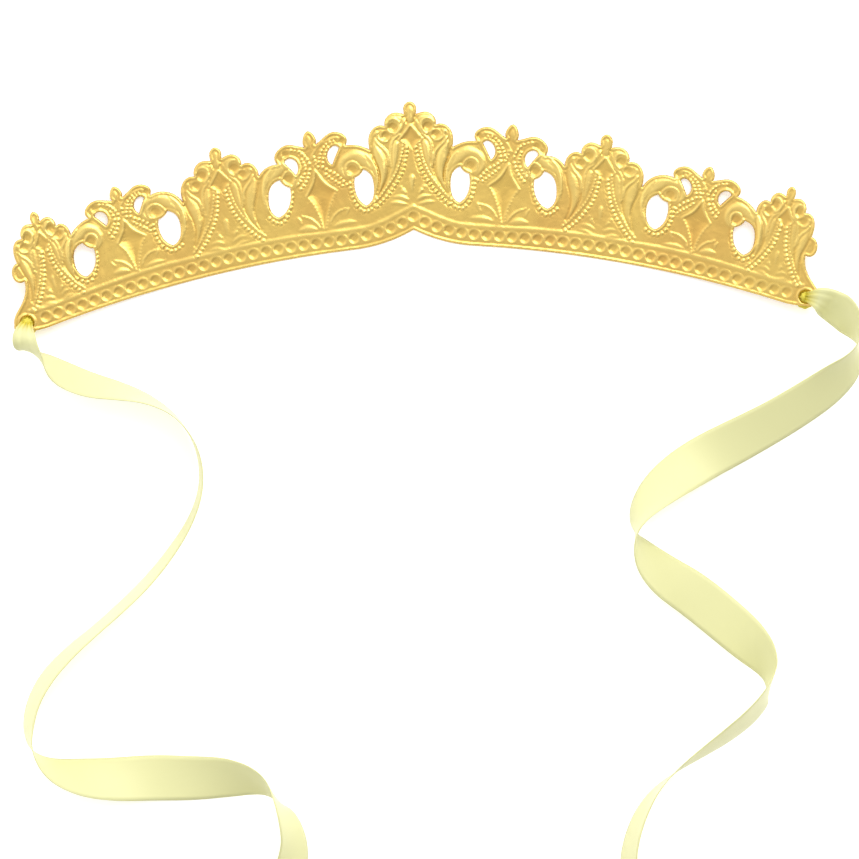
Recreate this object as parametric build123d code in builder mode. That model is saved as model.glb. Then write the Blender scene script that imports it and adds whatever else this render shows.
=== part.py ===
from build123d import *
import os
from math import asin, cos, degrees, radians, sin, tan

# An embossed foil-paper crown, cut from one sheet and laid on its back, with a satin ribbon
# tied through a punched hole at each end. Millimetres, +Z up, +Y towards the peaks.
# The origin is the middle of the sheet's outline, at the table.

crown_width = 281.8
crown_height = 76.8
sheet_thickness = 0.35
ribbon_hole_diameter = 4.4
ribbon_hole_inset = 4.6  # from the end of the sheet to the hole's centre
ribbon_hole_rise = 3.5  # from the foot of the end to the hole's centre
ribbon_width = 15.9
ribbon_thickness = 0.3
knot_diameter = 9.0
knot_height = 4.2
neck_clearance = 0.35  # round the bunched ribbon where it fills the hole
knot_clearance = 0.7  # under the sheet at the hole, over the knot
flat_half_length = 70.0  # the sheet lies flat this far each side of its middle, then curves up

# The outline is drawn at these sizes, and stretched to the two overall ones above.
drawn_width = 281.8
drawn_height = 76.8
notch_y = -7.7  # the drawing's zero, at the foot of the middle peak, from the sheet's middle
x_stretch = crown_width / drawn_width
y_stretch = crown_height / drawn_height

# Half of each motif, from its tip down its right side: one row for each lobe, as the points its
# curve passes through, along and square to the band.
peak_bud = [(-2.1, 32.0), (-2.25, 33.1), (-2.2, 34.6), (0, 36.4), (2.2, 34.6), (2.25, 33.1), (2.1, 32.0)]
peak_edge = [
    [(2.1, 32.0), (3.7, 32.5), (5.9, 32.6), (8.5, 30.8), (9.0, 28.0)],  # upper scroll
    [(9.0, 28.0), (12.3, 27.9), (14.6, 25.0), (14.9, 22.4), (14.6, 19.9)],  # lower scroll
]
inner_foot = (14.8, 22.6)  # where the lower scroll ends early, on a peak's inner side
crest_bud = [(-1.9, 30.8), (-2.1, 33.8), (0, 36.1), (2.1, 33.8), (1.9, 30.8)]
crest_edge = [
    [(1.9, 30.8), (4.6, 32.1), (8.6, 33.4), (13.1, 30.3), (12.4, 27.6)],  # wing
]
crest_window = [
    [(9.9, 27.4), (8.1, 24.7), (6.6, 22.3)],
    [(6.6, 22.3), (5.4, 24.7), (6.4, 27.6), (8.6, 28.5), (9.9, 27.4)],
]
oval_window = [
    [(0, 6.55), (3.3, 3.8), (3.9, -0.3), (2.6, -5.0), (0.3, -6.55)],
    [(0.3, -6.55), (-2.5, -4.1), (-3.9, 0.6), (-3.6, 3.9)],
    [(-3.6, 3.9), (-1.5, 4.75), (0, 6.55)],
]

# Where each motif of the right half stands: its foot on the band, how far its upright and its
# level lean clockwise, and its size along and square to the band.
peaks = [
    {"foot": (0.0, 9.7), "upright": 0.0, "level": 0.0, "wide": 1.0, "tall": 1.0},
    {"foot": (64.75, -3.4), "upright": 7.0, "level": 12.0, "wide": 0.945, "tall": 0.985},
    {"foot": (124.9, -20.2), "upright": 14.7, "level": 20.0, "wide": 0.71, "tall": 0.9},
]
crests = [
    {"foot": (31.2, 1.1), "upright": 8.0, "level": 14.0, "wide": 1.0, "tall": 1.0},
    {"foot": (97.3, -10.9), "upright": 13.9, "level": 19.0, "wide": 0.93, "tall": 0.87},
]
ovals = [
    {"foot": (16.85, 16.4), "upright": 2.2, "level": 2.2, "wide": -0.86, "tall": 0.97},
    {"foot": (46.65, 13.4), "upright": -1.7, "level": -1.7, "wide": 1.0, "tall": 1.0},
    {"foot": (85.6, 4.4), "upright": 6.4, "level": 6.4, "wide": -0.97, "tall": 0.93},
    {"foot": (115.55, -5.8), "upright": 6.4, "level": 6.4, "wide": 0.97, "tall": 0.9},
]
scroll_tops = [(18.3, 31.2), (50.6, 24.7), (85.8, 17.1), (117.6, 6.4)]

# The band's bottom edge, from the notch outwards, and the end's outer edge, from its foot up.
notch = (0.0, 1.0)
sweep_start = (22.0, -5.4)
sweep_end = (129.0, -29.1)
foot_of_end = (138.2, -30.7)
end_edge = [
    [(138.2, -30.7), (140.2, -30.1), (140.8, -28.0)],
    [(140.8, -28.0), (140.2, -24.5), (138.3, -21.2), (136.7, -16.8), (136.8, -12.9)],
    [(136.8, -12.9), (139.6, -12.9), (141.0, -10.3), (139.3, -7.8)],
]


def on_sheet(point):
    x, y = point
    return (x * x_stretch, y * y_stretch + notch_y * y_stretch)


def placed(lobes, spot, side=1):
    """Lobes of a motif as they stand on the sheet; side -1 is the half nearer the middle."""
    level, upright = radians(spot["level"]), radians(spot["upright"])
    rows = []
    for lobe in lobes:
        row = []
        for along, up in lobe:
            across = side * along * spot["wide"]
            rise = up * spot["tall"]
            x = spot["foot"][0] + across * cos(level) + rise * sin(upright)
            y = spot["foot"][1] - across * sin(level) + rise * cos(upright)
            row.append(on_sheet((x, y)))
        rows.append(row)
    return rows


def turned(rows):
    """The same chain of lobes, followed the other way."""
    return [row[::-1] for row in rows[::-1]]


def mirrored(rows):
    return [[(-x, y) for x, y in row] for row in rows]


def right_edge():
    """The outline's right half, from the middle bud's neck round to the notch."""
    motifs = [(crest_bud, crest_edge, crests[0]), (peak_bud, peak_edge, peaks[1])]
    motifs += [(crest_bud, crest_edge, crests[1]), (peak_bud, peak_edge, peaks[2])]
    rows = placed(peak_edge, peaks[0])
    for top, (bud, lobes, spot) in zip(scroll_tops, motifs):
        inner = [list(lobe) for lobe in lobes]
        if lobes is peak_edge:
            inner[-1][-2:] = [inner_foot]
        inner = turned(placed(inner, spot, side=-1))
        rows.append([rows[-1][-1], on_sheet(top), inner[0][0]])
        rows += inner + placed([bud], spot) + placed(lobes, spot)
    end = turned([[on_sheet(point) for point in lobe] for lobe in end_edge])
    end[0][0] = rows[-1][-1]
    foot_curve = [foot_of_end, (133.8, -30.2), sweep_end]
    sweep = [sweep_end, (77.0, -14.0), sweep_start]
    ogee = [sweep_start, (9.5, -3.0), notch]
    return rows + end + [[on_sheet(point) for point in lobe] for lobe in (foot_curve, sweep, ogee)]


def draw(rows):
    """A chain of lobes in the open BuildLine: an arc through three points, a curve through more."""
    for row in rows:
        if len(row) == 3:
            ThreePointArc(*row)
        else:
            Spline(*row)


# The hole for each ribbon, and the curve that lifts the ends of the sheet onto the knots.
hole_x = crown_width / 2 - ribbon_hole_inset
hole_y = on_sheet(foot_of_end)[1] + ribbon_hole_rise
lift = knot_height + knot_clearance
reach = hole_x - flat_half_length
bend_radius = (reach**2 + lift**2) / (2 * lift)
bend_angle = 1.2 * asin(reach / bend_radius)  # a little past the end of the sheet
hole_slope = asin(reach / bend_radius)
hole_top_z = lift + sheet_thickness / cos(hole_slope)

with BuildPart() as crown_sheet:
    with BuildSketch(Plane.XY.offset(-1)):
        with BuildLine():
            edge = right_edge()
            draw(placed([peak_bud], peaks[0]) + edge + turned(mirrored(edge)))
        make_face()
        windows = [(oval_window, spot, 1) for spot in ovals]
        windows += [(crest_window, spot, side) for spot in crests for side in (1, -1)]
        for lobes, spot, side in windows:
            for rows in (placed(lobes, spot, side), mirrored(placed(lobes, spot, side))):
                with BuildLine():
                    draw(rows)
                make_face(mode=Mode.SUBTRACT)
        with Locations((hole_x, hole_y), (-hole_x, hole_y)):
            Circle(ribbon_hole_diameter / 2, mode=Mode.SUBTRACT)
    extrude(amount=lift + 8)
    # the paper's own section along the crown: flat in the middle, curved up at both ends
    with BuildSketch(Plane.XZ):
        with BuildLine():
            Line((0, 0), (flat_half_length, 0))
            turn = degrees(bend_angle)
            under = JernArc((flat_half_length, 0), (1, 0), bend_radius, turn)
            upper_radius = bend_radius - sheet_thickness
            Line((0, 0), (0, sheet_thickness))
            Line((0, sheet_thickness), (flat_half_length, sheet_thickness))
            over = JernArc((flat_half_length, sheet_thickness), (1, 0), upper_radius, turn)
            Line(under @ 1, over @ 1)
        make_face()
        mirror(about=Plane.YZ)
    extrude(amount=crown_height, both=True, mode=Mode.INTERSECT)
crown_sheet.part.label = "crown_sheet"

# Each ribbon comes up through its hole bunched, opens out as it folds over the sheet's edge, and
# runs along the table in long curls. Across, along and above the hole's top, then the roll in
# degrees (0 lies flat, 90 stands on its edge) and the share of the width that is open.
left_gather = [
    (0.0, 0.0, 0.0, 0, 0.2),
    (-0.4, -1.6, 4.2, 0, 0.32),
    (-0.9, -5.2, 8.2, 12, 0.52),
]
right_gather = [
    (0.0, 0.0, 0.0, -180, 0.2),
    (1.3, -0.2, 3.4, -180, 0.3),
    (5.0, -1.2, 4.8, -170, 0.56),
]
# The rest of each route, across and along the crown from the hole, with the roll in degrees and
# how far the lower edge arches off the table where the ribbon folds over. Everywhere else the
# lower edge stays down, so the middle is as high as the roll makes it.
left_route = [
    (0.6, -9.0, 58, 7.6),
    (4.6, -13.0, 100, 1.8),
    (11.2, -18.2, 124, 0.4),
    (20.6, -22.6, 124, 0),
    (31.0, -25.0, 114, 0),
    (40.6, -27.8, 102, 0),
    (49.6, -32.9, 92, 0),
    (55.9, -40.6, 86, 0),
    (59.3, -50.1, 83, 0),
    (59.2, -60.6, 82, 0),
    (55.3, -71.1, 80, 0),
    (48.6, -81.1, 77, 0),
    (40.0, -91.3, 76, 0),
    (30.3, -100.2, 76, 0),
    (20.4, -108.4, 77, 0),
    (10.8, -116.1, 73, 0),
    (2.9, -124.1, 70, 0),
    (-2.4, -133.1, 70, 0),
    (-4.4, -142.6, 72, 0.4),
    (-2.8, -150.6, 84, 1.2),
    (3.6, -157.0, 112, 0.6),
    (13.6, -159.9, 140, 0),
    (25.8, -161.1, 158, 0),
    (38.3, -161.0, 176, 0),
    (51.7, -161.6, 190, 0),
    (64.2, -161.4, 206, 0.4),
    (73.4, -162.2, 230, 1.4),
    (79.8, -165.6, 256, 2.2),
    (84.6, -173.6, 286, 5.6),
    (87.6, -184.8, 304, 3.0),
    (85.4, -196.6, 318, 0.8),
    (79.6, -207.4, 335, 0),
    (70.6, -213.8, 350, 0),
    (59.6, -216.6, 358, 0),
    (47.9, -217.6, 362, 0),
    (36.9, -220.8, 366, 0),
    (28.2, -227.6, 368, 0),
]
right_route = [
    (9.6, -3.6, -150, 2.6),
    (14.2, -7.6, -130, 2.4),
    (17.2, -12.8, -104, 2.6),
    (17.4, -18.8, -76, 3.4),
    (13.4, -25.6, -48, 3.0),
    (6.8, -31.6, -34, 1.6),
    (-1.8, -37.2, -28, 0.6),
    (-12.8, -43.4, -24, 0),
    (-24.6, -49.2, -14, 0),
    (-36.4, -54.8, 2, 0.4),
    (-47.0, -60.8, 22, 2.0),
    (-55.2, -67.2, 42, 3.6),
    (-61.0, -74.4, 66, 4.0),
    (-63.0, -81.8, 94, 3.8),
    (-60.0, -89.0, 128, 3.4),
    (-52.8, -96.0, 154, 1.8),
    (-43.0, -102.6, 174, 0.6),
    (-33.2, -111.0, 184, 0),
    (-24.2, -119.4, 200, 0.4),
    (-18.2, -125.8, 228, 1.0),
    (-16.2, -131.6, 260, 2.6),
    (-18.6, -138.4, 288, 7.0),
    (-24.4, -145.6, 294, 5.6),
    (-32.4, -152.2, 292, 2.6),
    (-41.2, -158.0, 286, 0.6),
    (-50.0, -163.6, 278, 0),
    (-57.6, -169.8, 268, 0),
    (-63.2, -177.6, 259, 0),
    (-66.9, -186.2, 255, 0),
    (-68.9, -195.6, 252, 0),
    (-66.8, -205.2, 240, 0),
    (-60.8, -213.2, 222, 0),
    (-51.8, -218.2, 204, 0),
    (-41.4, -220.0, 190, 0),
    (-31.2, -218.6, 182, 0),
    (-21.4, -219.2, 178, 0),
    (-12.9, -223.6, 176, 0),
]


def ribbon_points(hole, gather, route):
    """Points, rolls and open shares along a ribbon's middle line."""
    points = [Vector(hole[0] + x, hole[1] + y, hole_top_z + z) for x, y, z, _, _ in gather]
    shares = [share for *_, share in gather] + [0.8] + [1.0] * (len(route) - 1)
    rolls = [roll for *_, roll, _ in gather] + [roll for *_, roll, _ in route]
    for (x, y, roll, arch), share in zip(route, shares[len(gather) :]):
        edge_rise = ribbon_width * share / 2 * abs(sin(radians(roll)))
        points.append(Vector(hole[0] + x, hole[1] + y, edge_rise + 2 * ribbon_thickness + arch))
    return points, rolls, shares


def bend_radii(points):
    """The largest arc for each corner that its two runs leave room for."""
    radii = []
    for before, corner, after in zip(points, points[1:], points[2:]):
        half_turn = radians((corner - before).get_angle(after - corner)) / 2
        shorter = min((corner - before).length, (after - corner).length)
        radii.append(0.45 * shorter / tan(half_turn))
    return radii


def stations(points, radii):
    """Lengths along the filleted path, with the route number that each one stands for."""
    spots, travelled = [(0.0, 0.0)], 0.0
    turns = [
        radians((b - a).get_angle(c - b)) for a, b, c in zip(points, points[1:], points[2:])
    ]
    cuts = [0.0] + [radius * tan(turn / 2) for radius, turn in zip(radii, turns)] + [0.0]
    last = len(points) - 2
    for i, (start, end) in enumerate(zip(points, points[1:])):
        run = (end - start).length - cuts[i] - cuts[i + 1]
        spots.append((travelled + run / 2, i + 0.5))
        travelled += run
        if i < last:
            arc = radii[i] * turns[i]
            spots.append((travelled + arc / 2, i + 1.0))
            travelled += arc
    spots.append((travelled, len(points) - 1.0))
    return spots


def between(values, place):
    low = min(int(place), len(values) - 2)
    return values[low] + (values[low + 1] - values[low]) * (place - low)


def make_ribbon(name, hole, gather, route):
    points, rolls, shares = ribbon_points(hole, gather, route)
    radii = bend_radii(points)
    with BuildPart() as ribbon:
        # the stopper knot behind the sheet, and the bunched ribbon that fills the hole
        with BuildSketch(Plane.XY):
            with Locations(hole):
                Circle(knot_diameter / 2)
        extrude(amount=knot_height)
        fillet(ribbon.edges(), radius=0.4 * knot_height)
        with BuildSketch(Plane.XY.offset(knot_height / 2)):
            with Locations(hole):
                Circle(ribbon_hole_diameter / 2 - neck_clearance)
        extrude(amount=hole_top_z - knot_height / 2)
        # the strip: its section at each station, turned to the ribbon's roll there, and a ruled
        # length between each section and the next
        with BuildLine():
            path = FilletPolyline(*points, radius=radii)
        sections = []
        for along, place in stations(points, radii):
            middle = path.position_at(along, position_mode=PositionMode.LENGTH)
            ahead = path.tangent_at(along, position_mode=PositionMode.LENGTH)
            level = Vector(0, 0, 1).cross(ahead).normalized()
            share = between(shares, place)
            across = level.rotate(Axis((0, 0, 0), ahead), between(rolls, place))
            with BuildSketch(
                Plane(origin=middle, x_dir=across, z_dir=ahead), mode=Mode.PRIVATE
            ) as section:
                Rectangle(ribbon_width * share, ribbon_thickness / share)
            sections.append(section.sketch.face().outer_wire())
        add([Solid.make_loft(pair, ruled=True) for pair in zip(sections, sections[1:])])
    ribbon.part.label = name
    length = path.length
    print(name, "length", round(length, 1), "volume", round(ribbon.part.volume, 1))
    print("  section x length", round(ribbon_width * ribbon_thickness * length, 1))
    print("  bend radii", [round(radius, 1) for radius in radii])
    return ribbon.part


os.makedirs("parts", exist_ok=True)
left_ribbon = make_ribbon("left_ribbon", (-hole_x, hole_y), left_gather, left_route)
right_ribbon = make_ribbon("right_ribbon", (hole_x, hole_y), right_gather, right_route)
for part in (crown_sheet.part, left_ribbon, right_ribbon):
    print(part.label, len(part.solids()), "solid", part.bounding_box())
    export_step(part, f"parts/{part.label}.step")
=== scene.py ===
from math import cos, pi, radians, sin

import bmesh
import bpy
import numpy as np
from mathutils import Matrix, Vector, geometry, kdtree


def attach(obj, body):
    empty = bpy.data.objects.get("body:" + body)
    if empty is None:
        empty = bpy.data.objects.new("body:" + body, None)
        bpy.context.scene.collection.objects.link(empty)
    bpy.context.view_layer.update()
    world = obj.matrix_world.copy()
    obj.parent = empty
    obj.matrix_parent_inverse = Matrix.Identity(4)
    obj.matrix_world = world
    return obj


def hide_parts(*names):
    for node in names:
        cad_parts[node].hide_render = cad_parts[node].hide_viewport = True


mm = 0.001
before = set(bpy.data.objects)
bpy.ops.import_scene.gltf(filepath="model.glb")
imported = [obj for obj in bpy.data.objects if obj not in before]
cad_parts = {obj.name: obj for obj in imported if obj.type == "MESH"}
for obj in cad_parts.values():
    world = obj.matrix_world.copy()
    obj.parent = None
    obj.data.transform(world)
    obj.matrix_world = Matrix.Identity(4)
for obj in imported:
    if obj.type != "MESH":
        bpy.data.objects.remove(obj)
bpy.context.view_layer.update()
print("frame loaded:", sorted(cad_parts))

# Camera.
view = {
    "middle": (3.2, -77.0),
    "across": 301.8,
    "lens": 180.0,
    "sensor": 36.0,
    "turn": -1.9,
    "farthest": 20,
}

camera = bpy.data.objects.new("camera", bpy.data.cameras.new("camera"))
bpy.context.scene.collection.objects.link(camera)
camera.data.lens = view["lens"]
camera.data.sensor_width = view["sensor"]
distance = view["across"] * mm * view["lens"] / view["sensor"]
camera.location = (view["middle"][0] * mm, view["middle"][1] * mm, distance)
camera.rotation_euler = (0, 0, radians(view["turn"]))
camera.data.clip_end = view["farthest"]
bpy.context.scene.camera = camera
print("camera", round(distance, 3), "m up")


def takeMesh(bm, name):
    mesh = bpy.data.meshes.new(name)
    bm.to_mesh(mesh)
    bm.free()
    return mesh


def makeObject(name, mesh, material, smooth=True):
    piece = bpy.data.objects.new(name, mesh)
    bpy.context.scene.collection.objects.link(piece)
    piece.data.materials.append(material)
    if smooth:
        for face in piece.data.polygons:
            face.use_smooth = True
    return piece


# Small helpers for a node material.
class Nodes:
    def __init__(self, name):
        self.material = bpy.data.materials.new(name)
        self.material.use_nodes = True
        self.tree = self.material.node_tree
        self.shader = self.tree.nodes["Principled BSDF"]

    def add(self, kind, values=None, **settings):
        node = self.tree.nodes.new(kind)
        for key, value in settings.items():
            setattr(node, key, value)
        for key, value in (values or {}).items():
            node.inputs[key].default_value = value
        return node

    def set(self, values):
        for key, value in values.items():
            self.shader.inputs[key].default_value = value

    def link(self, output, inputSocket):
        self.tree.links.new(output, inputSocket)

    def ramp(self, factor, stops):
        node = self.add("ShaderNodeValToRGB")
        band = node.color_ramp
        while len(band.elements) < len(stops):
            band.elements.new(0.5)
        for element, (place, color) in zip(band.elements, stops):
            element.position = place
            element.color = (*color, 1)
        self.link(factor, node.inputs["Fac"])
        return node.outputs["Color"]

    # A mix node's colour sockets share their names with others, so they go by number.
    def mix(self, factor, one, two):
        node = self.add("ShaderNodeMix", data_type="RGBA")
        for value, place in ((factor, 0), (one, 6), (two, 7)):
            if isinstance(value, (int, float)):
                node.inputs[place].default_value = value
            elif isinstance(value, tuple):
                node.inputs[place].default_value = (*value, 1)
            else:
                self.link(value, node.inputs[place])
        return node.outputs[2]

    def noise(self, coordinates, scale, detail=3.0, roughness=0.5, distortion=0.0):
        node = self.add(
            "ShaderNodeTexNoise",
            {"Scale": scale, "Detail": detail, "Roughness": roughness, "Distortion": distortion},
        )
        self.link(coordinates, node.inputs["Vector"])
        return node.outputs["Fac"]

    def bump(self, height, strength, distance, before=None):
        node = self.add("ShaderNodeBump", {"Strength": strength, "Distance": distance})
        self.link(height, node.inputs["Height"])
        if before is not None:
            self.link(before, node.inputs["Normal"])
        return node.outputs["Normal"]


# Gold foil.
foil = {
    "gold": (0.70, 0.475, 0.12),
    "copper": (0.66, 0.40, 0.10),
    # painted highlight: raised relief is painted this paler lemon gold
    "paintedHighlight": (0.84, 0.62, 0.19),
    "copperFrom": (0.4, 0.7),
    "paintedHighlightFrom": (0.3, 0.85),
    "rough": (0.24, 0.34),
    "roughFrom": (0.3, 0.7),
    # scale, detail, roughness and distortion of each noise
    "tintNoise": (30.0, 2.0, 0.5, 0.3),
    "roughNoise": (420.0, 4.0, 0.6),
    "waveNoise": (85.0, 3.0, 0.55, 0.4),
    "grainNoise": (1900.0, 2.0, 0.6),
    # strength and depth in metres of each bump
    "wave": (0.3, 0.0018),
    "grain": (0.12, 0.00012),
}
black, white = (0, 0, 0), (1, 1, 1)


def goldFoil():
    n = Nodes("goldFoil")
    place = n.add("ShaderNodeTexCoord").outputs["Object"]
    gold, copper = foil["copperFrom"]
    broad = n.noise(place, *foil["tintNoise"])
    tint = n.ramp(broad, [(gold, foil["gold"]), (copper, foil["copper"])])
    # painted highlight: the higher the relief, the more the gold turns to a paler lemon, as if it
    # caught the light
    low, high = foil["paintedHighlightFrom"]
    relief = n.add("ShaderNodeAttribute", attribute_name="relief").outputs["Fac"]
    raised = n.ramp(relief, [(low, black), (high, white)])
    n.link(n.mix(raised, tint, foil["paintedHighlight"]), n.shader.inputs["Base Color"])
    n.set({"Metallic": 1.0})
    fine = n.noise(place, *foil["roughNoise"])
    stops = [(at, (rough,) * 3) for at, rough in zip(foil["roughFrom"], foil["rough"])]
    n.link(n.ramp(fine, stops), n.shader.inputs["Roughness"])
    normal = n.bump(n.noise(place, *foil["waveNoise"]), *foil["wave"])
    grain = n.noise(place, *foil["grainNoise"])
    n.link(n.bump(grain, *foil["grain"], normal), n.shader.inputs["Normal"])
    return n.material


# The embossed sheet, in millimetres. Spots and strokes are measured from the notch in the lower
# edge, below the middle peak, and drawn on both halves.
sheet = {
    "notchRise": -7.7,
    "thickness": 0.35,
    "flatHalf": 70.0,
    "holeReach": 66.3,
    "holeLift": 4.9,
    "edgeStep": 0.4,
    "fineStep": 0.46,
    "rowStep": 0.866,
    "gridGap": 0.6,
    "base": 0.42,
    "highest": 1.3,
    "sharpCorner": 32,
}

# How a stroke's cross-section is shaped. A ring is how high, how far out and how broad.
emboss = {
    "peaked": 0.4,
    "twist": 1.25,
    "twistDip": 0.4,
    "pearlDome": 1.15,
    "pearlGroove": (0.13, 1.15, 0.3),
    "pearlPitch": 1.16,
    "bowlReach": 1.8,
    "bowlLip": (0.42, 1.02, 0.2),
    "bowlDish": (0.8, 0.92),
    "rimRoll": (0.24, 0.55, 0.4),
    "rimGroove": (0.1, 1.3, 0.35),
    "rimDrop": (0.26, 0.35),
}

peakSpots = [
    {"foot": (0.0, 9.7), "upright": 0.0, "level": 0.0, "wide": 1.0, "tall": 1.0},
    {"foot": (64.75, -3.4), "upright": 7.0, "level": 12.0, "wide": 0.945, "tall": 0.985},
    {"foot": (124.9, -20.2), "upright": 14.7, "level": 20.0, "wide": 0.71, "tall": 0.9},
]
crestSpots = [
    {"foot": (31.2, 1.1), "upright": 8.0, "level": 14.0, "wide": 1.0, "tall": 1.0},
    {"foot": (97.3, -10.9), "upright": 13.9, "level": 19.0, "wide": 0.93, "tall": 0.87},
]
ovalSpots = [
    {"foot": (16.85, 16.4), "upright": 2.2, "level": 2.2, "wide": -0.86, "tall": 0.97},
    {"foot": (46.65, 13.4), "upright": -1.7, "level": -1.7, "wide": 1.0, "tall": 1.0, "curl": 0.74},
    {"foot": (85.6, 4.4), "upright": 6.4, "level": 6.4, "wide": -0.97, "tall": 0.93},
    {"foot": (115.55, -5.8), "upright": 6.4, "level": 6.4, "wide": 0.97, "tall": 0.9, "curl": 0.74},
]

# Each stroke of a motif: what it is, how wide, how high, and where it runs. A negative height is
# pressed in, and widths may change along the stroke. A leaf is a raised patch inside a closed
# outline, and its width is how far its edge takes to roll up.
peakStrokes = [
    ("leaf", 1.5, 0.3, [
        (3.9, 22.6), (5.6, 22.6), (6.7, 20.8), (7.0, 17.4), (6.9, 13.8), (7.8, 10.2), (9.5, 6.8),
        (11.8, 3.2), (9.0, 7.4), (6.8, 10.9), (5.1, 15.0), (4.3, 18.9),
    ]),
    ("leaf", 1.7, 0.32, [
        (13.6, 21.6), (12.8, 16.4), (11.5, 12.6), (11.1, 9.4), (11.6, 6.2), (12.7, 3.4),
        (10.6, 6.6), (9.1, 9.9), (8.6, 13.4), (8.9, 16.8), (9.9, 19.2), (11.6, 21.2),
        (12.7, 23.4),
    ]),
    ("leaf", 1.6, 0.26, [
        (12.9, 26.2), (14.2, 23.8), (13.9, 21.4), (12.9, 24.0), (11.6, 25.4), (10.2, 26.6),
    ]),
    ("leaf", 1.3, 0.24, [
        (2.6, 31.4), (4.6, 31.9), (7.0, 31.4), (8.2, 29.6), (6.4, 30.0), (4.6, 29.6), (3.6, 28.2),
        (2.8, 29.4),
    ]),
    ("leaf", 2.6, -0.26, [
        (0.4, 27.4), (2.0, 25.2), (3.8, 23.3), (2.2, 21.8), (0.6, 20.4), (-0.6, 20.4),
        (-0.4, 27.4),
    ]),
    ("line", 0.8, 0.3, [(0.2, 27.9), (1.7, 26.0), (3.0, 24.4), (4.1, 23.2)]),
    ("line", 0.6, 0.14, [(4.1, 23.0), (2.6, 21.9), (1.3, 20.8)]),
    ("line", 0.7, 0.26, [(1.7, 30.4), (2.6, 28.6), (3.4, 26.8), (4.1, 25.0)]),
    ("line", 0.8, 0.34, [
        (8.3, 28.8), (7.3, 30.0), (5.6, 30.3), (4.0, 29.2), (3.8, 27.4), (4.5, 25.8), (5.6, 24.8),
    ]),
    ("bowl", 1.9, 0.26, [(6.1, 27.5)]),
    ("line", 0.7, 0.3, [(11.9, 25.9), (11.6, 24.1), (10.4, 22.8), (8.6, 22.4)]),
    ("bowl", 1.7, 0.24, [(8.8, 24.6)]),
    ("line", (0.7, 1.1, 0.5), 0.38, [
        (12.6, 23.6), (11.5, 21.7), (9.9, 20.2), (8.6, 18.6), (8.1, 16.8), (8.0, 14.0),
    ]),
    ("line", (0.8, 0.8, 0.4), 0.32, [
        (4.2, 24.7), (6.1, 23.1), (7.1, 20.8), (7.4, 17.2), (7.2, 13.4),
    ]),
    ("line", -0.7, 0.24, [(8.0, 15.2), (7.9, 12.6), (8.7, 9.4), (10.4, 6.0), (12.0, 3.4)]),
    ("line", -0.8, 0.26, [
        (14.3, 20.0), (13.2, 16.6), (11.9, 13.0), (11.5, 9.8), (11.9, 6.6), (12.8, 3.8),
    ]),
    ("rope", 0.8, 0.4, [
        (2.7, 22.1), (3.1, 19.3), (4.0, 15.6), (5.3, 12.3), (7.0, 9.3), (9.4, 6.1), (11.9, 3.1),
        (13.8, 1.1),
    ]),
    ("pearls", 1.4, 0.34, [
        (1.5, 20.2), (2.1, 16.9), (3.0, 12.9), (4.4, 9.9), (6.1, 7.2), (8.0, 4.6), (10.2, 2.2),
        (12.6, 0.0),
    ]),
    ("line", (0.6, 1.5, 1.2), 0.2, [(2.4, 4.2), (3.4, 5.4), (4.0, 6.2)]),
    ("bowl", 0.8, 0.14, [(3.8, 5.9)]),
    ("leaf", 1.2, 0.22, [(0.9, 1.6), (2.4, 3.2), (4.6, 3.8), (7.2, 2.8), (4.8, 2.4), (2.6, 1.7)]),
    ("leaf", 1.2, 0.2, [(1.2, 0.1), (3.2, 1.1), (5.6, 1.7), (8.4, 0.8), (6.0, 0.3), (3.4, 0.0)]),
]
peakMiddle = [
    ("leaf", 1.2, 0.26, [
        (0.0, 11.0), (1.0, 10.0), (0.8, 7.4), (0.0, 4.4), (-0.8, 7.4), (-1.0, 10.0),
    ]),
    ("leaf", 1.4, 0.2, [(-0.9, 29.2), (-1.4, 33.6), (0.0, 35.2), (1.4, 33.6), (0.9, 29.2)]),
    ("line", (1.0, 0.6), -0.3, [(2.0, 31.9), (1.7, 30.4), (1.2, 28.9)]),
    ("line", (1.0, 0.6), -0.3, [(-2.0, 31.9), (-1.7, 30.4), (-1.2, 28.9)]),
]
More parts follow.
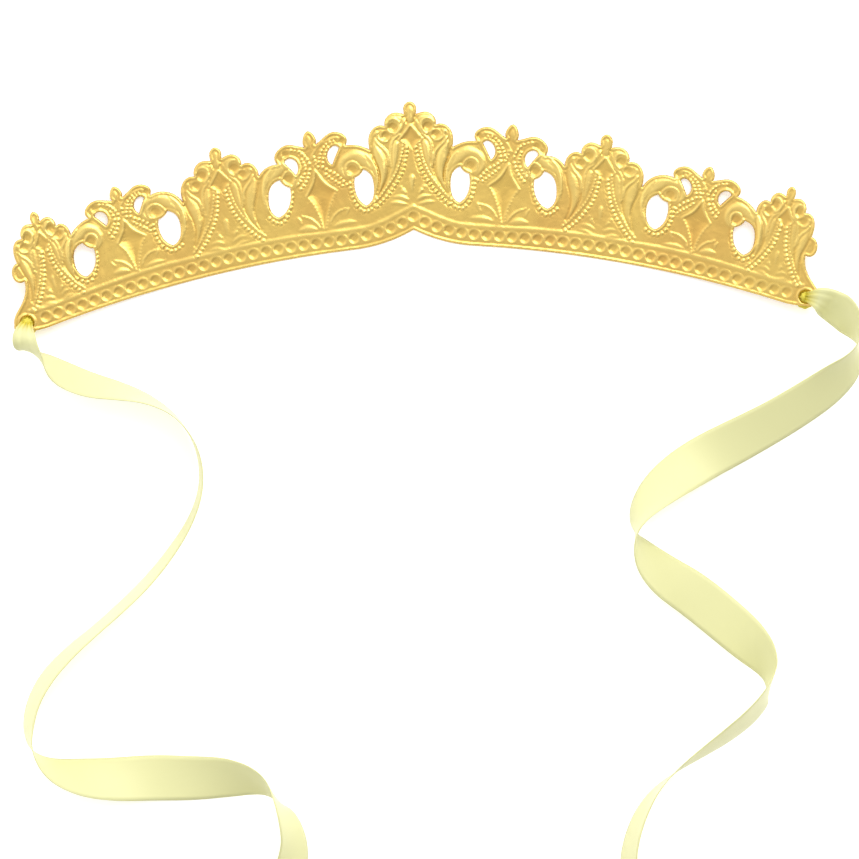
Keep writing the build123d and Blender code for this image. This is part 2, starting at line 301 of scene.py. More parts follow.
# A crest is drawn where the first one stands.
crestStrokes = [
    ("leaf", 3.0, -0.38, [
        (33.7, 22.6), (34.6, 19.2), (36.8, 14.3), (34.8, 11.3), (33.0, 7.8), (31.2, 2.6),
        (29.9, 7.0), (28.7, 11.2), (27.2, 15.6), (31.0, 18.6),
    ]),
    ("line", 0.8, 0.34, [(34.0, 23.0), (34.6, 19.2), (35.7, 16.6), (37.2, 14.0)]),
    ("rope", 0.7, 0.3, [(37.4, 13.7), (35.3, 11.3), (33.6, 7.9), (32.4, 4.8), (31.7, 1.9)]),
    ("line", (0.7, 1.1, 0.6), 0.42, [(33.6, 22.4), (31.6, 19.3), (29.6, 17.4), (27.0, 15.8)]),
    ("rope", 0.7, 0.3, [(26.6, 15.5), (28.2, 12.9), (29.3, 9.6), (30.1, 6.4), (30.8, 1.9)]),
    ("line", (0.5, 0.9, 0.4), 0.3, [(22.9, 9.3), (26.0, 8.3), (28.3, 6.1), (29.2, 3.8)]),
    ("line", (0.5, 1.0, 0.5), 0.32, [(39.4, 7.0), (36.4, 6.1), (34.1, 4.3), (32.8, 2.5)]),
    ("leaf", 1.5, 0.3, [
        (28.9, 2.7), (26.0, 4.8), (22.6, 5.4), (19.6, 4.4), (22.4, 3.5), (25.8, 2.9),
    ]),
    ("leaf", 1.5, 0.3, [
        (33.0, 1.9), (35.2, 3.6), (38.0, 3.9), (40.6, 1.9), (38.0, 1.3), (35.4, 1.4),
    ]),
    ("line", (0.4, 1.1, 0.4), 0.24, [(22.4, 9.6), (23.0, 8.2), (23.4, 6.9)]),
    ("line", (0.4, 1.1, 0.4), 0.24, [(40.6, 6.6), (39.8, 5.4), (39.4, 4.4)]),
    ("leaf", 1.8, 0.26, [(35.2, 30.8), (34.9, 33.6), (36.0, 35.8), (37.4, 34.4), (37.0, 31.0)]),
    ("line", 0.7, 0.28, [(35.2, 26.9), (33.9, 29.8), (31.6, 32.1), (28.6, 33.6), (25.8, 34.4)]),
    ("line", 0.7, 0.28, [(36.4, 26.6), (38.6, 29.4), (41.2, 31.2), (43.4, 31.4)]),
    ("bowl", 1.5, 0.26, [(24.0, 32.9)]),
    ("bowl", 1.5, 0.26, [(44.2, 28.8)]),
    ("pearls", 1.15, 0.34, [
        (27.2, 32.9), (29.1, 32.4), (30.6, 31.1), (31.7, 29.5), (32.3, 27.7), (32.8, 25.8),
    ]),
    ("pearls", 1.15, 0.32, [(29.2, 30.9), (30.3, 29.2), (30.9, 27.3), (31.2, 25.6)]),
    ("pearls", 1.15, 0.3, [(34.2, 27.4), (33.8, 25.6), (32.9, 24.0)]),
    ("pearls", 1.15, 0.34, [(42.4, 30.2), (40.4, 29.9), (38.7, 28.9), (37.2, 27.4), (36.0, 25.4)]),
    ("pearls", 1.15, 0.32, [(38.6, 26.8), (37.8, 25.2), (37.4, 23.4)]),
    ("pearls", 1.3, 0.34, [
        (31.4, 23.9), (29.4, 22.6), (27.6, 21.8), (25.7, 20.5), (24.3, 18.9), (23.0, 17.6),
    ]),
    ("pearls", 1.15, 0.3, [(30.4, 21.4), (28.4, 19.8), (26.4, 18.5), (24.6, 17.3)]),
    ("pearls", 1.3, 0.34, [(36.0, 23.2), (36.6, 20.8), (37.6, 18.6), (39.2, 16.6)]),
    ("pearls", 1.15, 0.3, [(37.9, 21.6), (38.8, 19.6), (40.0, 18.2)]),
]
# A scroll is drawn from the middle of its oval window, tail on the peak's side.
scrollStrokes = [
    ("leaf", 1.9, 0.42, [
        (4.3, -6.0), (5.5, -3.2), (6.2, 0.4), (6.3, 3.9), (5.3, 7.6), (3.2, 10.8), (0.2, 13.0),
        (-3.0, 13.8), (-6.4, 13.0), (-9.0, 11.2), (-10.3, 8.8), (-10.3, 6.4), (-8.9, 4.4),
        (-6.8, 3.4), (-4.6, 3.6), (-6.4, 4.4), (-7.5, 6.2), (-7.3, 8.2), (-5.8, 9.7),
        (-3.4, 10.0), (-1.6, 8.9), (0.0, 7.6), (3.4, 4.6), (4.6, 0.4), (3.8, -3.6),
    ]),
    ("line", (0.6, 1.2, 1.0, 0.4), 0.3, [
        (1.4, 12.0), (3.6, 9.7), (5.2, 7.0), (5.8, 3.9), (5.7, 0.6), (5.0, -2.6),
    ]),
    ("line", (0.4, 0.8, 0.4), -0.16, [(1.8, 9.8), (3.4, 7.4), (4.4, 4.4), (4.6, 1.0)]),
    ("line", (0.5, 1.0, 0.9, 0.5), 0.4, [
        (-4.8, 4.2), (-6.6, 4.8), (-7.2, 6.6), (-6.8, 8.4), (-5.2, 9.5), (-3.2, 9.4), (-1.7, 8.2),
        (-1.0, 6.9),
    ]),
    ("bowl", 1.9, 0.26, [(-4.3, 6.8)]),
    ("pearls", 1.4, 0.36, [(-3.4, -6.6), (-1.2, -8.5), (1.4, -8.4), (3.6, -6.9)]),
    ("pearls", 1.4, 0.36, [(-5.8, 1.9), (-5.6, -1.0), (-4.9, -3.8), (-3.6, -6.4)]),
    ("rope", 0.7, 0.28, [
        (-4.5, 2.6), (-4.6, 0.0), (-3.8, -3.4), (-2.2, -6.0), (0.2, -7.3), (2.4, -6.4),
    ]),
]
band = {
    "ridge": [
        (0, 9.7), (5, 7.4), (10, 5.0), (15, 3.2), (20, 2.3), (30, 1.2), (40, 0.4), (50, -0.9),
        (60, -2.4), (70, -4.4), (80, -6.5), (90, -8.6), (100, -11.6), (110, -14.8), (120, -18.3),
        (130, -21.7), (137.6, -23.2),
    ],
    "ridgeWidth": 1.9,
    "ridgeHeight": 0.2,
    "ridgeDrop": 0.5,
    "beads": [
        (0, 5.6), (4.2, 3.3), (8.2, 1.7), (12.4, 0.5), (16.9, -0.6), (22, -1.5), (30.8, -2.4),
        (39.8, -3.4), (48.3, -4.4), (57.8, -6.0), (66.6, -7.3), (74.8, -9.4), (83, -11.5),
        (91.5, -13.8), (100, -16.2), (108.5, -18.8), (117.2, -21.7), (125.3, -24.2),
        (129.8, -25.4),
    ],
    "beadCount": 30,
    "beadRadius": 1.85,
    "beadDepth": 0.36,
}


# Points along a smooth line through the given ones.
def smoothLine(points, step=0.3):
    points = [np.array(point, float) for point in points]
    if len(points) < 3:
        run = np.linalg.norm(points[-1] - points[0])
        count = max(2, int(run / step) + 1)
        steps = np.linspace(0, 1, count)[:, None]
        return points[0] + (points[-1] - points[0]) * steps
    ends = [2 * points[0] - points[1], *points, 2 * points[-1] - points[-2]]
    line = []
    for a, b, c, d in zip(ends, ends[1:], ends[2:], ends[3:]):
        count = max(2, int(np.linalg.norm(c - b) / step))
        for t in np.arange(count) / count:
            squared, cubed = 2 * a - 5 * b + 4 * c - d, 3 * b - a - 3 * c + d
            line.append(0.5 * (2 * b + (c - a) * t + squared * t**2 + cubed * t**3))
    line.append(points[-1])
    return np.array(line)


# How far along a line each of its points is.
def runAlong(line):
    return np.concatenate([[0], np.cumsum(np.linalg.norm(np.diff(line, axis=0), axis=1))])


# Points about a pitch apart along a line, its ends included.
def evenPoints(line, pitch):
    run = runAlong(line)
    count = max(1, int(round(run[-1] / pitch)))
    along = np.linspace(0, run[-1], count + 1)
    return np.stack([np.interp(along, run, line[:, i]) for i in range(2)], axis=1)


def spaced(points, pitch):
    return evenPoints(smoothLine(points, 0.1), pitch)


def ring(away, height, middle, breadth):
    return height * np.exp(-(((away - middle) / breadth) ** 2))


# Heights in millimetres over points of the sheet, drawn stroke by stroke.
class Relief:
    def __init__(self, points):
        self.points = points
        self.height = np.full(len(points), sheet["base"])

    def near(self, line, reach):
        low, high = line.min(axis=0) - reach, line.max(axis=0) + reach
        return np.where(((self.points > low) & (self.points < high)).all(axis=1))[0]

    def measure(self, line, reach):
        found = self.near(line, reach)
        away = np.full(len(found), 1e9)
        along = np.zeros(len(found))
        spots = self.points[found]
        run = 0.0
        total = np.linalg.norm(np.diff(line, axis=0), axis=1).sum() or 1.0
        for start, end in zip(line, line[1:]):
            step = end - start
            length = np.linalg.norm(step) or 1e-9
            t = np.clip(((spots - start) @ step) / length**2, 0, 1)
            off = np.linalg.norm(spots - start - t[:, None] * step, axis=1)
            closer = off < away
            away[closer] = off[closer]
            along[closer] = (run + t[closer] * length) / total
            run += length
        return found, away, along, total

    def line(self, points, width, height, twist=0.0):
        sign = 1.0
        widths = width if isinstance(width, tuple) else (width, width)
        if widths[0] < 0:
            sign, widths = -1.0, tuple(-value for value in widths)
        line = smoothLine(points)
        found, away, along, total = self.measure(line, max(widths))
        half = np.interp(along, np.linspace(0, 1, len(widths)), widths) / 2
        inside = np.clip(1 - (away / half) ** 2, 0, 1)
        shape = inside * (1 + emboss["peaked"] * inside) / (1 + emboss["peaked"])
        if twist:
            dip = emboss["twistDip"]
            shape = shape * (1 - dip + dip * np.cos(2 * pi * along * total / twist))
        self.height[found] += sign * height * shape

    def pearl(self, spot, width, height):
        found = self.near(np.array([spot, spot]), width)
        off = np.linalg.norm(self.points[found] - spot, axis=1) / (width / 2)
        dome = np.sqrt(np.clip(1 - off**2, 0, 1)) * height * emboss["pearlDome"]
        self.height[found] += dome - ring(off, *emboss["pearlGroove"])

    def bowl(self, spot, radius, depth):
        found = self.near(np.array([spot, spot]), radius * emboss["bowlReach"])
        off = np.linalg.norm(self.points[found] - spot, axis=1) / radius
        sink, rim = emboss["bowlDish"]
        dish = sink * np.clip(1 - (off / rim) ** 3, 0, 1)
        self.height[found] += depth * (ring(off, *emboss["bowlLip"]) - dish)

    def leaf(self, points, roll, height):
        outline = smoothLine([*points, points[0]])
        found, away, _, _ = self.measure(outline, 0.1)
        inside = insideLoops(self.points[found], [outline])
        rise = np.clip(away / roll, 0, 1)
        self.height[found] += np.where(inside, height * rise * (2 - rise), 0)

    def draw(self, strokes, place, bothSides=True):
        for kind, width, height, points in strokes:
            for side in (1, -1) if bothSides else (1,):
                row = [place(point, side) for point in points]
                for half in (1, -1):
                    spots = [np.array((half * x, y + sheet["notchRise"])) for x, y in row]
                    if kind == "line":
                        self.line(spots, width, height)
                    elif kind == "rope":
                        self.line(spots, width, height, twist=emboss["twist"])
                    elif kind == "bowl":
                        self.bowl(spots[0], width, height)
                    elif kind == "leaf":
                        self.leaf(spots, width, height)
                    else:
                        for spot in spaced(spots, emboss["pearlPitch"] * width):
                            self.pearl(spot, width, height)


# Puts a motif's own across and up on the sheet.
def spotPlacer(spot):
    level, upright = radians(spot["level"]), radians(spot["upright"])

    def place(point, side=1):
        across, rise = side * point[0] * spot["wide"], point[1] * spot["tall"]
        across *= spot.get("curl", 1.0) if point[0] < 0 else 1.0
        return (
            spot["foot"][0] + across * cos(level) + rise * sin(upright),
            spot["foot"][1] - across * sin(level) + rise * cos(upright),
        )

    return place


# Moves a stroke drawn on the first crest to another one.
def crestPlacer(spot, drawn):
    level, upright = radians(drawn["level"]), radians(drawn["upright"])
    put = spotPlacer(spot)

    def place(point, side=1):
        x, y = point[0] - drawn["foot"][0], point[1] - drawn["foot"][1]
        spread = cos(level) * cos(upright) + sin(level) * sin(upright)
        across = (x * cos(upright) - y * sin(upright)) / spread
        rise = (x * sin(level) + y * cos(level)) / spread
        return put((across, rise))

    return place


# The plain ridge and the row of pressed bowls along the lower edge.
def bandStrokes(relief):
    ridge = smoothLine(band["ridge"], 1.0)
    drop = sheet["notchRise"] - band["ridgeDrop"]
    for half in (1, -1):
        row = [np.array((half * x, y + drop)) for x, y in ridge[::3]]
        relief.line(row, band["ridgeWidth"], band["ridgeHeight"])
    row = spaced(band["beads"], 0.1)
    run = runAlong(row)
    for i in range(band["beadCount"] + 1):
        x = np.interp(run[-1] * i / band["beadCount"], run, row[:, 0])
        y = np.interp(run[-1] * i / band["beadCount"], run, row[:, 1]) + sheet["notchRise"]
        for half in (1, -1) if i else (1,):
            relief.bowl(np.array((half * x, y)), band["beadRadius"], band["beadDepth"])


# The outline and every hole of the exact sheet, as loops of points in millimetres.
def sheetLoops(node):
    bm = bmesh.new()
    bm.from_mesh(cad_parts[node].data)
    bmesh.ops.remove_doubles(bm, verts=bm.verts, dist=1e-6)
    under = [face for face in bm.faces if face.normal.z < 0.7]
    bmesh.ops.delete(bm, geom=under, context="FACES")
    rim = {edge for edge in bm.edges if edge.is_boundary}
    loops = []
    # a set has no fixed order, so the edges are taken in the mesh's own
    for start in bm.edges:
        if start not in rim:
            continue
        rim.discard(start)
        first, here = start.verts
        loop = [first, here]
        while here != first:
            edge = next(e for e in here.link_edges if e in rim)
            rim.discard(edge)
            here = edge.other_vert(here)
            loop.append(here)
        loops.append(np.array([vert.co.xy[:] for vert in loop[:-1]]) / mm)
    bm.free()
    loops.sort(key=len, reverse=True)
    return loops


# The loop with points about a step apart, smooth between its sharp corners.
def evenLoop(loop, step):
    before = loop - np.roll(loop, 1, axis=0)
    after = np.roll(loop, -1, axis=0) - loop
    cross = before[:, 0] * after[:, 1] - before[:, 1] * after[:, 0]
    turn = np.abs(np.arctan2(cross, (before * after).sum(axis=1)))
    sharp = radians(sheet["sharpCorner"])
    corners = [i for i in range(len(loop)) if turn[i] > sharp] or [0]
    result = []
    for a, b in zip(corners, corners[1:] + [corners[0] + len(loop)]):
        part = np.take(loop, range(a, b + 1), axis=0, mode="wrap")
        result += list(evenPoints(smoothLine(list(part), 0.08), step)[:-1])
    return np.array(result)


# Which points lie inside an outline and outside the holes in it.
def insideLoops(points, loops):
    inside = np.zeros(len(points), bool)
    for loop in loops:
        for (x0, y0), (x1, y1) in zip(loop, np.roll(loop, -1, axis=0)):
            if y0 != y1:
                level = (points[:, 1] > min(y0, y1)) & (points[:, 1] <= max(y0, y1))
                crossing = x0 + (points[:, 1] - y0) * (x1 - x0) / (y1 - y0)
                inside ^= level & (points[:, 0] < crossing)
    return inside


# How far the sheet's underside is above the table, in millimetres: its ends curl up.
def sheetRise(x):
    radius = (sheet["holeReach"] ** 2 + sheet["holeLift"] ** 2) / (2 * sheet["holeLift"])
    past = np.clip(np.abs(x) - sheet["flatHalf"], 0, None)
    return radius - np.sqrt(radius**2 - past**2)


def crownSheet(material):
    loops = [evenLoop(loop, sheet["edgeStep"]) for loop in sheetLoops("crown_sheet")]
    edge = np.concatenate(loops)
    tree = kdtree.KDTree(len(edge))
    for i, (x, y) in enumerate(edge):
        tree.insert((x, y, 0), i)
    tree.balance()
    step = sheet["fineStep"]
    low, high = edge.min(axis=0), edge.max(axis=0)
    rows = np.arange(low[1], high[1], step * sheet["rowStep"])
    columns = np.arange(low[0], high[0], step)
    grid = np.array([(x + (j % 2) * step / 2, y) for j, y in enumerate(rows) for x in columns])
    grid = grid[insideLoops(grid, loops)]
    away = np.array([tree.find((x, y, 0))[2] for x, y in grid])
    points = np.concatenate([edge, grid[away > step * sheet["gridGap"]]])
    print("sheet points", len(points), "loops", len(loops))

    edges, start = [], 0
    for loop in loops:
        count = len(loop)
        edges += [(start + i, start + (i + 1) % count) for i in range(count)]
        start += count
    made = geometry.delaunay_2d_cdt([Vector(point) for point in points], edges, [], 1, 1e-4)
    spots = np.array([vert[:] for vert in made[0]])
    away = np.array([tree.find((x, y, 0))[2] for x, y in spots])
    faces = np.array(made[2])
    middles = spots[faces].mean(axis=1)
    faces = faces[insideLoops(middles, loops)]

    relief = Relief(spots)
    for spot in peakSpots:
        relief.draw(peakStrokes, spotPlacer(spot))
        relief.draw(peakMiddle, spotPlacer(spot), bothSides=False)
    for spot in crestSpots:
        relief.draw(crestStrokes, crestPlacer(spot, crestSpots[0]), bothSides=False)
    for spot in ovalSpots:
        relief.draw(scrollStrokes, spotPlacer(spot), bothSides=False)
    bandStrokes(relief)
    # every cut edge is rolled over, with a groove just inside it
    rim = ring(away, *emboss["rimRoll"]) - ring(away, *emboss["rimGroove"])
    drop, within = emboss["rimDrop"]
    height = np.clip(relief.height + rim, 0.0, sheet["highest"])
    height = np.clip(height - drop * np.clip(1 - away / within, 0, 1), 0, None)

    top = sheetRise(spots[:, 0]) + sheet["thickness"] + height
    mesh = bpy.data.meshes.new("crown")
    places = [(x * mm, y * mm, z * mm) for (x, y), z in zip(spots, top)]
    mesh.from_pydata(places, [], faces.tolist())
    mark = mesh.attributes.new("relief", "FLOAT", "POINT")
    mark.data.foreach_set("value", np.clip(height, 0, 1))
    bm = bmesh.new()
    bm.from_mesh(mesh)
    bmesh.ops.recalc_face_normals(bm, faces=bm.faces)
    if sum(face.normal.z for face in bm.faces) < 0:
        bmesh.ops.reverse_faces(bm, faces=bm.faces)
    bm.to_mesh(mesh)
    bm.free()
    piece = makeObject("crown", mesh, material)
    wall = piece.modifiers.new("wall", "SOLIDIFY")
    wall.thickness = sheet["thickness"] * mm
    wall.offset = -1
    print("sheet faces", len(faces), "relief", round(height.min(), 2), round(height.max(), 2))
    return piece


crown = crownSheet(goldFoil())
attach(crown, "root")
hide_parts("crown_sheet")

# Satin ribbons.
satin = {
    # painted shade: a deeper, stronger yellow for the bunched start of the ribbon at the hole
    "paintedHoleShade": (0.66, 0.56, 0.06),
    "pale": (0.66, 0.65, 0.345),
    "deep": (0.635, 0.61, 0.27),
    "deepFrom": (0.3, 0.62),
    "plain": 0.55,
    # in ribbon widths from the hole, where the painted shade of the bunched start fades out
    "paintedHoleShadeUntil": (0.08, 0.42),
    "weftStretch": 34.0,
    "weftNoise": (60.0, 3.0, 0.6),
    "warp": {"Scale": 55.0, "Distortion": 0.4},
    "warpBump": (0.1, 0.00008),
    "weftBump": (0.12, 0.0001),
    "shine": {
        "Roughness": 0.38,
        "Anisotropic": 0.5,
        "Specular IOR Level": 0.25,
        "Sheen Weight": 0.08,
        "Sheen Roughness": 0.4,
        "Sheen Tint": (1.0, 0.97, 0.75, 1),
    },
}


def satinRibbon():
    n = Nodes("satinRibbon")
    uv = n.add("ShaderNodeUVMap", uv_map="strip").outputs["UV"]
    stretch = n.add("ShaderNodeMapping", {"Scale": (1.0, satin["weftStretch"], 1.0)})
    n.link(uv, stretch.inputs["Vector"])
    weft = n.noise(stretch.outputs["Vector"], *satin["weftNoise"])
    warp = n.add("ShaderNodeTexWave", satin["warp"], bands_direction="X")
    n.link(uv, warp.inputs["Vector"])
    low, high = satin["deepFrom"]
    tint = n.ramp(weft, [(low, satin["deep"]), (high, satin["pale"])])
    soft = n.mix(satin["plain"], tint, satin["pale"])
    # painted shade: the bunched start of the ribbon, at the hole, is painted a deeper, stronger
    # yellow for the shade among its layers
    parts = n.add("ShaderNodeSeparateXYZ")
    n.link(uv, parts.inputs[0])
    near, far = satin["paintedHoleShadeUntil"]
    start = n.ramp(parts.outputs["Y"], [(near, white), (far, black)])
    n.link(n.mix(start, soft, satin["paintedHoleShade"]), n.shader.inputs["Base Color"])
    n.set(satin["shine"])
    normal = n.bump(warp.outputs["Fac"], *satin["warpBump"])
    n.link(n.bump(weft, *satin["weftBump"], normal), n.shader.inputs["Normal"])
    return n.material


ribbon = {
    "width": 15.9,
    "thickness": 0.3,
    "cup": 0.35,
    "pleat": 0.8,
    "pleats": 2,
    "firstShare": 0.8,
    "clear": 0.6,
    "tableGap": 0.05,
    "acrossCuts": 10,
    "hole": (136.3, -34.9),
    "holeTop": 5.25,
}
# A gather's rows: across and along from the hole and up from its top, in millimetres, then the roll
# in degrees (0 lies flat, 90 stands on its edge) and the share of the width that is open.
leftGather = [
    (0.0, 0.0, 0.0, 0, 0.2),
    (-0.4, -1.6, 4.2, 0, 0.32),
    (-0.9, -5.2, 8.2, 12, 0.52),
]
rightGather = [
    (0.0, 0.0, 0.0, -180, 0.2),
    (1.3, -0.2, 3.4, -180, 0.3),
    (5.0, -1.2, 4.8, -170, 0.56),
]
# A route's rows: across and along from the hole, the roll, and how far the lower edge is lifted.
leftRoute = [
    (0.6, -9.0, 58, 7.6), (4.6, -13.0, 100, 1.8), (11.2, -18.2, 124, 0.4),
    (20.6, -22.6, 124, 0), (31.0, -25.0, 114, 0), (40.6, -27.8, 102, 0),
    (49.6, -32.9, 92, 0), (55.9, -40.6, 86, 0), (59.3, -50.1, 83, 0),
    (59.2, -60.6, 82, 0), (55.3, -71.1, 80, 0), (48.6, -81.1, 77, 0),
    (40.0, -91.3, 76, 0), (30.3, -100.2, 76, 0), (20.4, -108.4, 77, 0),
    (10.8, -116.1, 73, 0), (2.9, -124.1, 70, 0), (-2.4, -133.1, 70, 0),
    (-4.4, -142.6, 72, 0.4), (-2.8, -150.6, 84, 1.2), (3.6, -157.0, 112, 0.6),
    (13.6, -159.9, 140, 0), (25.8, -161.1, 158, 0), (38.3, -161.0, 176, 0),
    (51.7, -161.6, 190, 0), (64.2, -161.4, 206, 0.4), (73.4, -162.2, 230, 1.4),
    (79.8, -165.6, 256, 2.2), (84.6, -173.6, 286, 5.6), (87.6, -184.8, 304, 3.0),
    (85.4, -196.6, 318, 0.8), (79.6, -207.4, 335, 0), (70.6, -213.8, 350, 0),
    (59.6, -216.6, 358, 0), (47.9, -217.6, 362, 0), (36.9, -220.8, 366, 0),
    (28.2, -227.6, 368, 0),
]
rightRoute = [
    (9.6, -3.6, -150, 2.6), (14.2, -7.6, -130, 2.4), (17.2, -12.8, -104, 2.6),
    (17.4, -18.8, -76, 3.4), (13.4, -25.6, -48, 3.0), (6.8, -31.6, -34, 1.6),
    (-1.8, -37.2, -28, 0.6), (-12.8, -43.4, -24, 0), (-24.6, -49.2, -14, 0),
    (-36.4, -54.8, 2, 0.4), (-47.0, -60.8, 22, 2.0), (-55.2, -67.2, 42, 3.6),
    (-61.0, -74.4, 66, 4.0), (-63.0, -81.8, 94, 3.8), (-60.0, -89.0, 128, 3.4),
    (-52.8, -96.0, 154, 1.8), (-43.0, -102.6, 174, 0.6), (-33.2, -111.0, 184, 0),
    (-24.2, -119.4, 200, 0.4), (-18.2, -125.8, 228, 1.0), (-16.2, -131.6, 260, 2.6),
    (-18.6, -138.4, 288, 7.0), (-24.4, -145.6, 294, 5.6), (-32.4, -152.2, 292, 2.6),
    (-41.2, -158.0, 286, 0.6), (-50.0, -163.6, 278, 0), (-57.6, -169.8, 268, 0),
    (-63.2, -177.6, 259, 0), (-66.9, -186.2, 255, 0), (-68.9, -195.6, 252, 0),
    (-66.8, -205.2, 240, 0), (-60.8, -213.2, 222, 0), (-51.8, -218.2, 204, 0),
    (-41.4, -220.0, 190, 0), (-31.2, -218.6, 182, 0), (-21.4, -219.2, 178, 0),
    (-12.9, -223.6, 176, 0),
]


# Points along a smooth spline that is steered by the given rows.
def splinePoints(name, rows):
    curve = bpy.data.curves.new(name, "CURVE")
    curve.dimensions = "3D"
    curve.resolution_u = 6
    spline = curve.splines.new("NURBS")
    spline.points.add(len(rows) - 1)
    for point, row in zip(spline.points, rows):
        point.co = (*row, 1)
    spline.order_u = 3
    spline.use_endpoint_u = True
    holder = bpy.data.objects.new(name, curve)
    mesh = bpy.data.meshes.new_from_object(holder)
    points = [vert.co.copy() for vert in mesh.vertices]
    bpy.data.objects.remove(holder)
    bpy.data.meshes.remove(mesh)
    return points


# One spline carries the places, and a second the roll in hundreds of degrees and the share.
def layRibbon(name, side, gather, route, material):
    holeX, holeY = side * ribbon["hole"][0], ribbon["hole"][1]
    places, twists = [], []
    for x, y, z, roll, share in gather:
        places.append(((holeX + x) * mm, (holeY + y) * mm, (ribbon["holeTop"] + z) * mm))
        twists.append((roll / 100, share, 0))
    for i, (x, y, roll, arch) in enumerate(route):
        share = ribbon["firstShare"] if i == 0 else 1.0
        edgeRise = ribbon["width"] * share / 2 * abs(sin(radians(roll)))
        height = edgeRise + ribbon["clear"] + arch
        places.append(((holeX + x) * mm, (holeY + y) * mm, height * mm))
        twists.append((roll / 100, share, 0))
    path = splinePoints(name + "Path", places)
    twist = splinePoints(name + "Twist", twists)
    last, cuts = len(path) - 1, ribbon["acrossCuts"]
    bm = bmesh.new()
    strip = bmesh.ops.create_grid(bm, x_segments=cuts, y_segments=last, size=0.5)["verts"]
    cells = [(round((vert.co.x + 0.5) * cuts), round((vert.co.y + 0.5) * last)) for vert in strip]
    along = [0.0]
    for here, ahead in zip(path, path[1:]):
        along.append(along[-1] + (ahead - here).length)
    lowest = [1.0] * (last + 1)
    for vert, (cut, i) in zip(strip, cells):
        ahead = (path[min(i + 1, last)] - path[max(i - 1, 0)]).normalized()
        level = Vector((0, 0, 1)).cross(ahead).normalized()
        roll, share = radians(twist[i].x * 100), twist[i].y
        across = level * cos(roll) + ahead.cross(level) * sin(roll)
        t = 2 * cut / cuts - 1
        wave = cos(2 * pi * ribbon["pleats"] * t)
        pleat = (1 - share) * ribbon["pleat"] * wave
        cup = ribbon["cup"] * (1 - t * t) * share / 2
        middle = path[i] + across * ribbon["width"] / 2 * share * t * mm
        vert.co = middle + ahead.cross(across) * (pleat + cup) * mm
        lowest[i] = min(lowest[i], vert.co.z)
    # no point of the strip goes under the table
    floor = (ribbon["thickness"] / 2 + ribbon["tableGap"]) * mm
    for vert, (_, i) in zip(strip, cells):
        vert.co.z += max(0.0, floor - lowest[i])
    uv = bm.loops.layers.uv.new("strip")
    cell = dict(zip(strip, cells))
    for face in bm.faces:
        for loop in face.loops:
            cut, i = cell[loop.vert]
            loop[uv].uv = (cut / cuts, along[i] / (ribbon["width"] * mm))
    bmesh.ops.recalc_face_normals(bm, faces=bm.faces)
    piece = makeObject(name, takeMesh(bm, name), material)
    wall = piece.modifiers.new("wall", "SOLIDIFY")
    wall.thickness = ribbon["thickness"] * mm
    wall.offset = 0
    print(name, "length", round(along[-1], 4))
    return piece, path, along[-1]


# The stopper knot behind the sheet, and the bunched ribbon that comes up through the hole.
knotShape = {
    "radius": 3.8,
    "halfHeight": 2.05,
    "rise": 2.1,
    # how deep, how many round, and how much each fold slants
    "folds": [(0.09, 3, 5), (0.04, 7, -9)],
    "neckLower": 1.85,
    "neckUpper": 1.7,
    "neckHeight": 3.4,
    "neckRise": 4.3,
    "neckPleats": 8,
    "neckPleat": 0.08,
    "weave": 60,
}


def tieKnot(name, side, material):
    holeX, holeY = side * ribbon["hole"][0], ribbon["hole"][1]
    bm = bmesh.new()
    bmesh.ops.create_uvsphere(bm, u_segments=48, v_segments=24, radius=1.0)
    radius, halfHeight = knotShape["radius"], knotShape["halfHeight"]
    for vert in bm.verts:
        x, y, z = vert.co
        turn = np.arctan2(y, x)
        fold = 1.0
        for deep, count, slant in knotShape["folds"]:
            fold += deep * sin(count * turn + slant * z)
        vert.co = Vector((x * radius * fold, y * radius * fold, z * halfHeight))
        vert.co += Vector((holeX, holeY, knotShape["rise"]))
    neck = bmesh.ops.create_cone(
        bm,
        cap_ends=True,
        segments=40,
        radius1=knotShape["neckLower"],
        radius2=knotShape["neckUpper"],
        depth=knotShape["neckHeight"],
    )
    for vert in neck["verts"]:
        turn = np.arctan2(vert.co.y, vert.co.x)
        pleat = 1 - knotShape["neckPleat"] * (1 - cos(knotShape["neckPleats"] * turn))
        vert.co.x, vert.co.y = vert.co.x * pleat, vert.co.y * pleat
        vert.co += Vector((holeX, holeY, knotShape["neckRise"]))
    for vert in bm.verts:
        vert.co *= mm
    # the knot's uv lies before the ribbon's start, so all of the knot and neck take the painted
    # shade of the bunched start
    uv = bm.loops.layers.uv.new("strip")
    for face in bm.faces:
        for loop in face.loops:
            loop[uv].uv = loop.vert.co.xy * knotShape["weave"]
    return makeObject(name, takeMesh(bm, name), material)


satinMaterial = satinRibbon()
for side, title, gather, route in (
    (-1, "left", leftGather, leftRoute),
    (1, "right", rightGather, rightRoute),
):
    strip, path, run = layRibbon(title + "Ribbon", side, gather, route, satinMaterial)
    knot = tieKnot(title + "Knot", side, satinMaterial)
    for piece in (strip, knot):
        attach(piece, "root")
    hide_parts(title + "_ribbon")
    tuple(path[0])
    [tuple(point) for point in path]

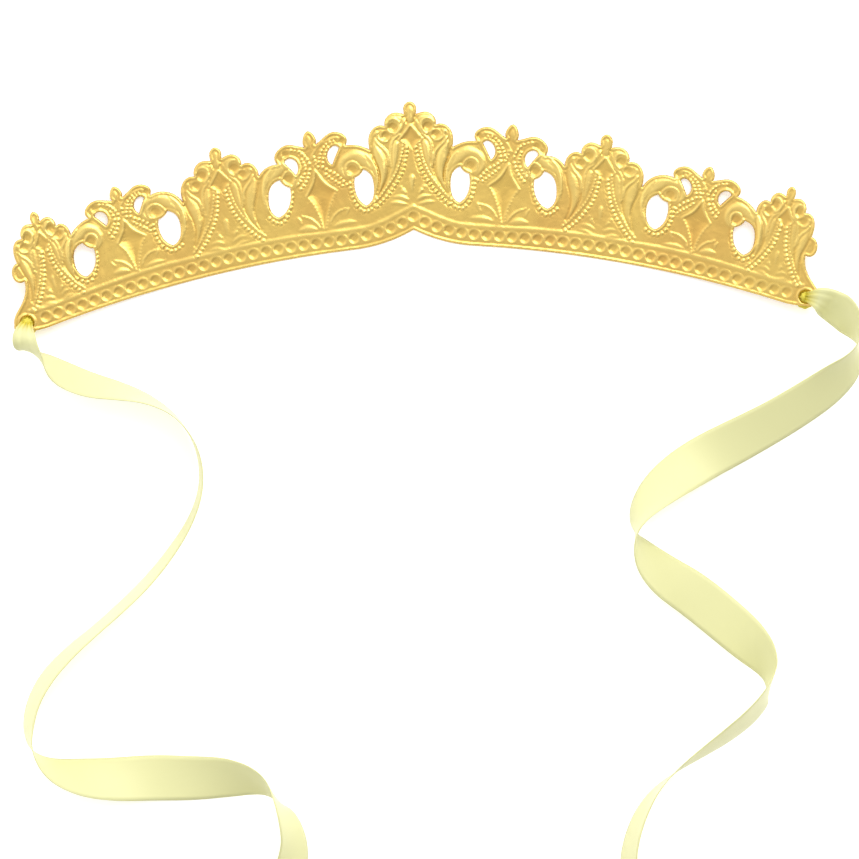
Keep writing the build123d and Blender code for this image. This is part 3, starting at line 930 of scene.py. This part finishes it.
# Table and light.
room = {
    "floor": 3.0,
    "surface": {
        "Base Color": (0.95, 0.95, 0.95, 1),
        "Roughness": 0.9,
        "Specular IOR Level": 0.1,
        "Emission Color": (1, 1, 1, 1),
        "Emission Strength": 0.3,
    },
    "even": 0.92,
    "backdrop": 0.93,
    # direction, how much it adds, and where along that direction it starts and is full
    "lights": [
        ((-0.45, 0.89, 0.0), 0.62, 0.05, 0.75),
        ((0.42, 0.58, 0.7), 3.6, 0.86, 0.99),
        ((0.75, -0.66, 0.0), -0.28, 0.1, 0.75),
    ],
}


def plainTable():
    n = Nodes("plainTable")
    n.set(room["surface"])
    bm = bmesh.new()
    bmesh.ops.create_grid(bm, x_segments=1, y_segments=1, size=room["floor"] / 2)
    return makeObject("table", takeMesh(bm, "table"), n.material, smooth=False)


# An even white room with brighter and darker sides. The camera sees it as one plain backdrop.
def studioLight():
    world = bpy.data.worlds.new("studio")
    world.use_nodes = True
    tree = world.node_tree
    place = tree.nodes.new("ShaderNodeTexCoord").outputs["Generated"]
    level = room["even"]
    for toward, amount, start, full in room["lights"]:
        lean = tree.nodes.new("ShaderNodeVectorMath")
        lean.operation = "DOT_PRODUCT"
        lean.inputs[1].default_value = toward
        tree.links.new(place, lean.inputs[0])
        lobe = tree.nodes.new("ShaderNodeMapRange")
        lobe.interpolation_type = "SMOOTHSTEP"
        lobe.inputs["From Min"].default_value = start
        lobe.inputs["From Max"].default_value = full
        lobe.inputs["To Max"].default_value = amount
        tree.links.new(lean.outputs["Value"], lobe.inputs["Value"])
        total = tree.nodes.new("ShaderNodeMath")
        tree.links.new(lobe.outputs["Result"], total.inputs[0])
        if isinstance(level, float):
            total.inputs[1].default_value = level
        else:
            tree.links.new(level, total.inputs[1])
        level = total.outputs["Value"]
    seen = tree.nodes.new("ShaderNodeLightPath").outputs["Is Camera Ray"]
    pick = tree.nodes.new("ShaderNodeMix")
    pick.inputs["B"].default_value = room["backdrop"]
    tree.links.new(seen, pick.inputs["Factor"])
    tree.links.new(level, pick.inputs["A"])
    tree.links.new(pick.outputs["Result"], tree.nodes["Background"].inputs["Strength"])
    tree.nodes["Background"].inputs["Color"].default_value = (1, 1, 1, 1)
    return world


table = plainTable()
bpy.context.scene.world = studioLight()

bpy.context.scene.view_settings.view_transform = "Standard"
bpy.context.scene.view_settings.look = "None"
print("light and table made")
